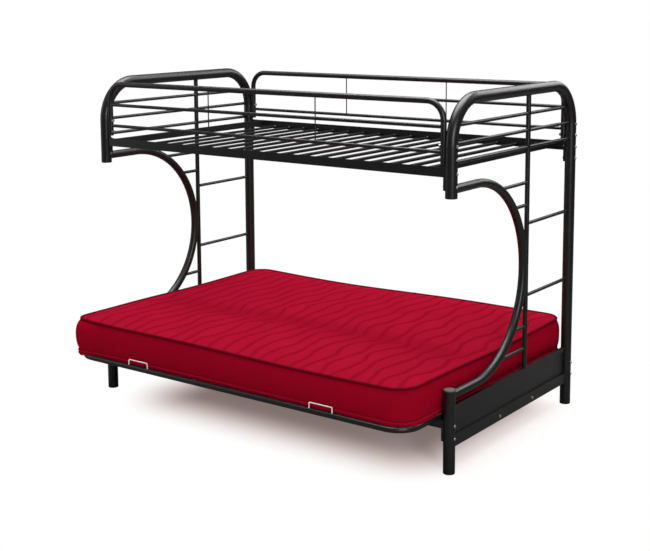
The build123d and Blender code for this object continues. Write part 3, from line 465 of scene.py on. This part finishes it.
class Pad:
    # the mattress as a top grid, rings of boxing and rim below its edge, and a flat base
    def __init__(self, y, share, levels, quilted):
        self.levels, self.rings = levels, levels + rim["steps"]
        self.shapeTop(y, share, quilted)
        self.shapeSide()

    def shapeTop(self, y, share, quilted):
        # height: the seam, plus unevenness, crown, edge roll and quilting, less the crease;
        # the crown is a parabola each way, and the roll is one less e to the power of minus the distance in
        left = -endReach(y, mattress["frontLeft"], mattress["rearLeft"])[:, None]
        right = endReach(y, mattress["frontRight"], mattress["rearRight"])[:, None]
        x = left + (right - left) * share[None, :]
        y = np.broadcast_to(y[:, None], x.shape)
        self.rows, self.columns = x.shape

        fromEdge = np.maximum(np.minimum(np.minimum(x - left, right - x), halfY - np.abs(y)), 0)
        rise = 1 - np.exp(-fromEdge / mattress["edgeReach"])
        crown = (1 - (x / halfX) ** 2) * (1 - (y / halfY) ** 2)
        puff, self.fromLine = quilt(x, y)
        self.dip = crease(x, y) * rise
        farEdge = np.clip(np.clip(y / halfY, 0, 1) ** mattress["rearPower"]
                          + np.clip(-x / halfX, 0, 1) ** mattress["leftPower"], 0, 1)
        proud = mattress["proudEdge"] * farEdge
        z = topSeamZ + sag(x, y) + mattress["crown"] * crown - fold["depth"] * self.dip
        z = z - mattress["edgeFall"] * farEdge
        z = z + mattress["edgeRise"] * (proud + (1 - proud) * rise) + (puff * rise if quilted else 0)
        px, py = drawIn(x, y)
        self.top = np.stack([px, py + middleY, z], -1)

        self.ring = ringOf(self.rows, self.columns)
        self.edge = self.top.reshape(-1, 3)[self.ring]
        tangent = np.roll(self.edge, -1, 0) - np.roll(self.edge, 1, 0)
        out = np.stack([tangent[:, 1], -tangent[:, 0]], -1)
        self.out = out / np.linalg.norm(out, axis=1)[:, None]
        step = np.linalg.norm(np.diff(self.edge[:, :2], axis=0), axis=1)
        self.length = np.concatenate([[0], np.cumsum(step)])

    def swell(self):
        # how far each level of the boxing stands out: a flat-topped bulge with a slow ripple along it,
        # and a flare at the front left and rear right corners that comes on fast and eases off downwards
        down = np.linspace(0, 1, self.levels + 1)[:, None]
        bulge = mattress["bulge"] * (1 - np.abs(2 * down - 1) ** mattress["bulgePower"])
        fast, slow = mattress["rippleRadians"]
        beat = np.cos(self.length * slow + mattress["ripplePhase"])
        ripple = 1 - mattress["ripple"] * (1 + np.sin(self.length * fast) * beat)
        x, y = self.edge[:, 0], self.edge[:, 1] - middleY
        corner = (hump(x, y, (-halfX, -halfY), (mattress["flareReach"],) * 2)
                  + mattress["rearFlare"] * hump(x, y, (halfX, halfY), (mattress["rearFlareReach"],) * 2))
        flare = mattress["flare"] * corner[None, :] * (1 - (1 - down) ** mattress["flareRise"])
        return bulge * ripple[None, :] + flare * (1 - mattress["flareFall"] * down)

    def shapeSide(self):
        # levels of boxing in even steps from seam to seam, then a rim that spreads in a straight line
        levels = self.levels
        down = np.linspace(0, 1, levels + 1)[:, None]
        self.side = np.empty((self.rings + 1, len(self.edge), 3))
        self.side[:levels + 1, :, :2] = self.edge[None, :, :2] + self.swell()[..., None] * self.out[None]
        self.side[:levels + 1, :, 2] = self.edge[None, :, 2] + (bottomSeamZ - self.edge[:, 2])[None, :] * down
        foot = self.side[levels, :, :2]
        rimPlace = foot + rim["out"] * self.out
        rimZ = rimHeight(rimPlace[:, 0], rimPlace[:, 1])
        for step in range(1, rim["steps"] + 1):
            part = step / rim["steps"]
            self.side[levels + step, :, :2] = foot + (rimPlace - foot) * part
            self.side[levels + step, :, 2] = bottomSeamZ + (rimZ - bottomSeamZ) * part

    def points(self, base):
        # top, then the rings below the edge, then the inner points of the base
        return np.concatenate([self.top.reshape(-1, 3), self.side[1:].reshape(-1, 3), base.reshape(-1, 3)])

    def sideFaces(self):
        # quads from each ring to the next one down, wound to face out
        topCount, ringCount = self.rows * self.columns, len(self.ring)
        loops = [self.ring] + [topCount + k * ringCount + np.arange(ringCount) for k in range(self.rings)]
        return np.concatenate([
            np.stack([upper, lower, np.roll(lower, -1), np.roll(upper, -1)], -1)
            for upper, lower in zip(loops[:-1], loops[1:])
        ])

    def base(self, stride):
        # inner points and faces of the base: every stride-th column, with the lowest ring as its rim
        coarse = np.arange(0, self.columns, stride)
        inner = self.top[1:-1, coarse[1:-1]].copy()
        inner[..., 2] = bottomZ
        topCount, ringCount = self.rows * self.columns, len(self.ring)
        footStart = topCount + (self.rings - 1) * ringCount
        footOf = np.full(topCount, -1)
        footOf[self.ring] = footStart + np.arange(ringCount)
        last = (self.rows - 1) * self.columns
        number = np.empty((self.rows, len(coarse)), int)
        number[0], number[-1] = footOf[coarse], footOf[last + coarse]
        number[1:-1, 0] = footOf[np.arange(1, self.rows - 1) * self.columns]
        number[1:-1, -1] = footOf[np.arange(1, self.rows - 1) * self.columns + self.columns - 1]
        number[1:-1, 1:-1] = footStart + ringCount + np.arange(inner[..., 0].size).reshape(inner.shape[:2])
        middle = number[1:-1]
        quads = np.stack([middle[:-1, :-1], middle[1:, :-1], middle[1:, 1:], middle[:-1, 1:]], -1)
        faces = list(quads.reshape(-1, 4))
        for k in range(len(coarse) - 1):  # along the front and rear, one face takes in a stride of rim points
            span = np.arange(coarse[k], coarse[k + 1] + 1)
            faces.append(np.concatenate([footOf[span][::-1], number[1, k:k + 2]]))
            faces.append(np.concatenate([footOf[last + span], number[-2, k:k + 2][::-1]]))
        return inner, faces


def blow(pad):
    # cloth under pressure with gravity off, held at both seams, on the base and along the quilting
    inner, baseFaces = pad.base(1)
    points = pad.points(inner)
    faces = list(gridFaces(pad.rows, pad.columns)) + list(pad.sideFaces()) + baseFaces
    held = np.zeros(len(points))
    held[:pad.fromLine.size] = pad.fromLine.ravel() < puffing["heldReach"]
    held[pad.ring] = 1
    held[pad.rows * pad.columns + (pad.levels - 1) * len(pad.ring):] = 1
    item = makeMesh("blown", points, [faces])
    item.vertex_groups.new(name="held").add(np.flatnonzero(held).tolist(), 1.0, 'REPLACE')
    cloth = item.modifiers.new("cloth", 'CLOTH')
    cloth.collision_settings.use_collision = False
    rules = cloth.settings
    rules.vertex_group_mass = "held"
    rules.mass = puffing["mass"]
    rules.tension_stiffness = rules.compression_stiffness = puffing["stretch"]
    rules.bending_stiffness = puffing["bend"]
    rules.use_pressure, rules.uniform_pressure_force = True, puffing["pressure"]
    rules.effector_weights.gravity = 0
    for number in range(1, puffing["frames"] + 1):
        bpy.context.scene.frame_set(number)
    blown = item.evaluated_get(bpy.context.evaluated_depsgraph_get())
    moved = np.empty(len(points) * 3, np.float32)
    blown.to_mesh().vertices.foreach_get("co", moved)
    blown.to_mesh_clear()
    bpy.context.scene.frame_set(1)
    bpy.data.meshes.remove(item.data)
    return moved.reshape(-1, 3) - points


def capped(move, most):
    # a soft limit on how far each point goes: its distance through a hyperbolic tangent
    far = np.linalg.norm(move, axis=-1, keepdims=True)
    return move * (most * np.tanh(far / most) / np.maximum(far, 1e-9))


def between(values, place, closed=False):
    # values at fractional places along the first axis
    low = np.floor(place).astype(int)
    low = low if closed else np.minimum(low, len(values) - 2)
    part = (place - low).reshape(-1, *[1] * (values.ndim - 1))
    return values[low % len(values)] * (1 - part) + values[(low + 1) % len(values)] * part


def softened(values, width):
    # a short running mean along the second axis
    padded = np.pad(values, ((0, 0), (width // 2, width // 2), (0, 0)), "edge")
    return sum(padded[:, k:k + values.shape[1]] / width for k in range(width))


def puffUp(pad, y, share):
    # simulate every few rows and columns of the pad, then carry the movement over to all of its points
    rowStride, columnStride, levelStride = (puffing[key] for key in ("rowStride", "columnStride", "levelStride"))
    coarse = Pad(y[::rowStride], share[::columnStride], pad.levels // levelStride, False)
    move = blow(coarse)
    topCount, ringCount = coarse.rows * coarse.columns, len(coarse.ring)
    top = capped(move[:topCount].reshape(coarse.rows, coarse.columns, 3), puffing["topCap"])
    side = np.concatenate([np.zeros((1, ringCount, 3)),
                           move[topCount:topCount + coarse.levels * ringCount].reshape(-1, ringCount, 3)])
    side = capped(side, puffing["sideCap"])

    top = between(top, np.arange(pad.rows) / rowStride)
    top = between(top.transpose(1, 0, 2), np.arange(pad.columns) / columnStride).transpose(1, 0, 2)
    pad.top += softened(top, puffing["softening"])
    runs = [(pad.columns - 1, columnStride), (pad.rows - 1, rowStride)] * 2
    place, start = [], 0.0
    for count, stride in runs:
        place.append(start + np.arange(count) / stride)
        start += count / stride
    side = between(side, np.arange(pad.levels + 1) / levelStride)
    side = between(side.transpose(1, 0, 2), np.concatenate(place), True).transpose(1, 0, 2)
    pad.side[:pad.levels + 1] += side
    print("mattress blown: top up to", round(float(top[..., 2].max()), 4), "side up to",
          round(float(np.abs(side[..., :2]).max()), 4))


def coverUV(pad, points, topFaces, sideFaces, baseFaces):
    # plan coordinates on top and base, length round the edge and height on the boxing, all in metres
    topCount, ringCount = pad.rows * pad.columns, len(pad.ring)
    ringPlace = np.zeros(len(points), int)
    ringPlace[pad.ring] = np.arange(ringCount)
    ringPlace[topCount:topCount + pad.rings * ringCount] = np.tile(np.arange(ringCount), pad.rings)
    flatUV = points[:, :2]
    sideUV = np.stack([pad.length[ringPlace[sideFaces]], points[sideFaces][..., 2]], -1).reshape(-1, 2)
    baseUV = np.concatenate([flatUV[np.asarray(face)] for face in baseFaces])
    return np.concatenate([flatUV[topFaces].reshape(-1, 2), sideUV, baseUV])


def markQuilting(cover, pad, count):
    # a bell across each stitched line, wide for the grooves' painted shade, to which painted shade in the fold's
    # dip is added, and narrow for the painted glint on the stitches
    for name, width, foldShade in (("groove", quilting["grooveWidth"], quilting["foldShade"]),
                                   ("stitch", quilting["stitchWidth"], 0.0)):
        depth = np.zeros(count, np.float32)
        line = np.exp(-(pad.fromLine / width) ** 2)
        depth[:line.size] = (line + (1 - line) * foldShade * pad.dip).ravel()
        cover.data.attributes.new(name, "FLOAT", "POINT").data.foreach_set("value", depth)


def makeCover(pad):
    inner, baseFaces = pad.base(mattress["baseStride"])
    points = pad.points(inner)
    topFaces, sideFaces = gridFaces(pad.rows, pad.columns), pad.sideFaces()
    uv = coverUV(pad, points, topFaces, sideFaces, baseFaces)
    cover = makeMesh("mattressCover", points, [topFaces, list(sideFaces) + baseFaces], uv,
                     [finishes["quiltTop"], finishes["quiltSide"]])
    markQuilting(cover, pad, len(points))
    return cover


def tube(name, path, material):
    # a circle carried along a closed level path
    radius, sides, count = piping["radius"], piping["sides"], len(path)
    ahead = np.roll(path, -1, 0) - np.roll(path, 1, 0)
    ahead /= np.linalg.norm(ahead, axis=1)[:, None]
    across = np.cross(ahead, np.broadcast_to([0.0, 0.0, 1.0], path.shape))
    across /= np.linalg.norm(across, axis=1)[:, None]
    up = np.cross(across, ahead)
    turn = np.arange(sides) / sides * 2 * math.pi
    points = path[:, None] + radius * (np.cos(turn)[None, :, None] * across[:, None]
                                       + np.sin(turn)[None, :, None] * up[:, None])
    i, j = np.meshgrid(np.arange(count), np.arange(sides), indexing="ij")
    after, beside = (i + 1) % count, (j + 1) % sides
    faces = np.stack([i * sides + j, after * sides + j, after * sides + beside, i * sides + beside], -1)
    run = np.concatenate([[0], np.cumsum(np.linalg.norm(np.diff(path, axis=0), axis=1))])
    uv = np.stack([run[i], turn[j] * radius], -1)
    corners = np.stack([uv, uv, uv, uv], 2).reshape(-1, 2)
    return makeMesh(name, points.reshape(-1, 3), [faces.reshape(-1, 4)], corners, [material])


def makePiping(pad):
    # along the two seams, a little way out from each
    away = np.concatenate([pad.out, np.zeros((len(pad.out), 1))], 1)
    upperPath = (pad.edge + away * piping["out"])[::piping["stride"]]
    lowerPath = (pad.side[pad.levels] + away * piping["lowOut"])[::piping["stride"]]
    lowerPath[:, 2] = bottomSeamZ
    return (tube("mattressPipingTop", upperPath, finishes["piping"]),
            # the lower cord's lighter colour is a painted highlight
            tube("mattressPipingBottom", lowerPath, finishes["lowPipingPaintedHighlight"]))


def makeMattress():
    y = planRows()
    share = np.linspace(0, 1, mattress["columns"])
    pad = Pad(y, share, mattress["levels"], True)
    puffUp(pad, y, share)
    # the left side stays clear of the front leg
    pad.side[..., 0] = np.maximum(pad.side[..., 0], legFace + mattress["legRoom"])
    return makeCover(pad), *makePiping(pad)


mattressPieces = makeMattress()
for piece in mattressPieces:
    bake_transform(piece)
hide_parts("mattress_seat", "mattress_fold", "mattress_back")
print("mattress made:", len(mattressPieces), "pieces")


# Floor, lamps and air
stage = {
    # the floor's warm tint is painted bounce from the red cover, and the warm glow laid over its shadow is painted
    # light that lifts and warms it
    "floorSize": 60.0, "floorWithPaintedWarmth": (0.97, 0.895, 0.87), "paintedShadowLift": 0.17, "paintedShadowWarmth": (1.0, 0.76, 0.69),
    "shadowMiddle": (0.10, 0.08, 0), "shadowHalf": (0.60, 0.34, 0), "shadowFade": 0.44,
    "airLight": 0.42, "airInGloss": 0.085, "floorInGloss": 0.12, "floorInBounce": 0.50,
}
lamps = {
    "key": {"place": (-0.3, 0.35, 5.2), "aim": (0, 0.0, 0.3), "size": (5.0, 4.2), "watts": 508},
    "front": {"place": (5.1, -3.7, 2.8), "aim": (0, 0, 0.7), "size": (1.6, 3.2), "watts": 138},
    "back": {"place": (1.4, 4.2, 3.5), "aim": (0, 0, 0.8), "size": (3.2, 2.2), "watts": 85},
    "leftSide": {"place": (-4.4, -2.6, 2.2), "aim": (0, 0, 0.8), "size": (0.6, 3.2), "watts": 25},
}


def makeFloor():
    # lit under the object, where it takes the shadow, and plain white to the camera further out:
    # the white comes in smoothly with the distance from a flat box, and a warm glow of it lies over the shadow as
    # painted light, lifting it; the floor's warm tint is painted bounce light from the red cover
    p = newPaint("paleFloor")
    colour = p.mix(p.ray("Is Diffuse Ray"), stage["floorWithPaintedWarmth"], (stage["floorInBounce"],) * 3)
    colour = p.mix(p.ray("Is Glossy Ray"), colour, (stage["floorInGloss"],) * 3)
    lit = p.node("ShaderNodeBsdfDiffuse", None, {"Color": colour})
    aside = p.vector("SUBTRACT", p.coordinates(), stage["shadowMiddle"])
    aside = p.vector("SUBTRACT", p.vector("ABSOLUTE", aside, (0, 0, 0)), stage["shadowHalf"])
    aside = p.vector("MAXIMUM", aside, (0, 0, 0))
    far = p.vector("LENGTH", aside, (0, 0, 0), "Value")
    fade = p.node("ShaderNodeMapRange", {"clamp": True, "interpolation_type": "SMOOTHSTEP"},
                  {"Value": far, "From Max": stage["shadowFade"], "To Min": stage["paintedShadowLift"]})
    # glowing white far out, and over the shadow a share of warm painted light
    white = p.node("ShaderNodeEmission", None, {"Color": p.mix(fade, stage["paintedShadowWarmth"], (1.0, 1.0, 1.0))})
    mixed = p.choose(fade * p.ray("Is Camera Ray"), lit, white)
    p.node("ShaderNodeOutputMaterial", None, {"Surface": mixed})
    half = stage["floorSize"] / 2
    corners = np.array([(-half, -half, 0), (half, -half, 0), (half, half, 0), (-half, half, 0)])
    floor = makeMesh("floor", corners, [np.array([[0, 1, 2, 3]])], None, [p.owner], False)


def makeAir():
    # white to the camera and through anything clear, dim in gloss, and an even light otherwise
    p = Paint(bpy.data.worlds.new("air"))
    bpy.context.scene.world = p.owner

    def air(strength):
        return p.node("ShaderNodeBackground", None, {"Color": (1, 1, 1, 1), "Strength": strength})

    shown = p.choose(p.ray("Is Glossy Ray"), air(stage["airLight"]), air(stage["airInGloss"]))
    shown = p.choose(p.ray("Is Transmission Ray"), shown, air(1.0))
    shown = p.choose(p.ray("Is Camera Ray"), shown, air(1.0))
    p.node("ShaderNodeOutputWorld", None, {"Surface": shown})


def makeLamp(name, settings):
    # a rectangle that faces its aim
    data = bpy.data.lights.new(name, 'AREA')
    data.shape = 'RECTANGLE'
    data.size, data.size_y = settings["size"]
    data.energy = settings["watts"]
    item = bpy.data.objects.new(name, data)
    bpy.context.scene.collection.objects.link(item)
    item.location = settings["place"]
    item.rotation_euler = (Vector(settings["aim"]) - Vector(settings["place"])).to_track_quat('-Z', 'Y').to_euler()


makeFloor()
makeAir()
for name, settings in lamps.items():
    makeLamp(name, settings)
print("stage lit:", len(lamps), "lamps")
